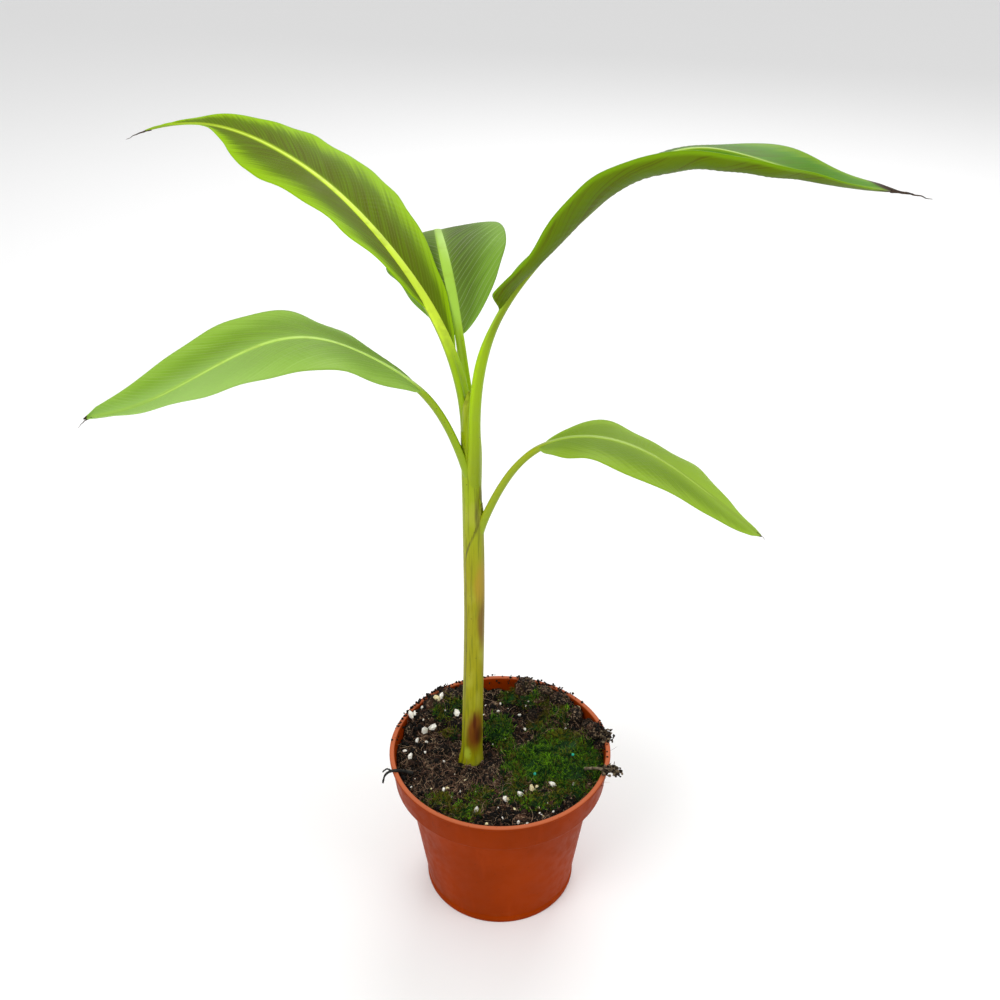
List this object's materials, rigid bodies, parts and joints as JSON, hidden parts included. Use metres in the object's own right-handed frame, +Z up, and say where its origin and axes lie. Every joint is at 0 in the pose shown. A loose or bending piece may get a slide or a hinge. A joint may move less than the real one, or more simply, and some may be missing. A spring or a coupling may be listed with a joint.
{
  "type": "potted young banana plant",
  "caption": "Young banana plant with a slim pseudostem and long arching leaves, in a round plastic nursery pot of soil.",
  "frame": {"origin": "centre of the pot's flat underside, on the pot's axis", "axes": "+Z up along the pot's axis; -Y is the side the lowest leaf leans towards and the view the plant is usually shown from; +X to the right of that view"},
  "size_m": [0.3411, 0.2325, 0.4241],
  "materials": {
    "pot": "satin",
    "soil": "rough, fibrous",
    "moss": "matt",
    "stem": "satin",
    "petiole": "satin",
    "leaf": "satin"
  },
  "bodies": {
    "root": {"pot": "pot", "soil": "soil", "moss_front": "moss", "moss_back": "moss", "pseudostem": "stem", "petiole_lower_right": "petiole", "petiole_lower_left": "petiole", "petiole_upper_right": "petiole", "petiole_upper_left": "petiole", "petiole_centre": "petiole", "leaf_lower_right_base": "leaf", "leaf_lower_right_tip": "leaf", "leaf_lower_left_base": "leaf", "leaf_lower_left_tip": "leaf", "leaf_upper_right_base": "leaf", "leaf_upper_right_tip": "leaf", "leaf_upper_left_base": "leaf", "leaf_upper_left_tip": "leaf", "leaf_centre_base": "leaf", "leaf_centre_tip": "leaf"}
  },
  "joints": []
}
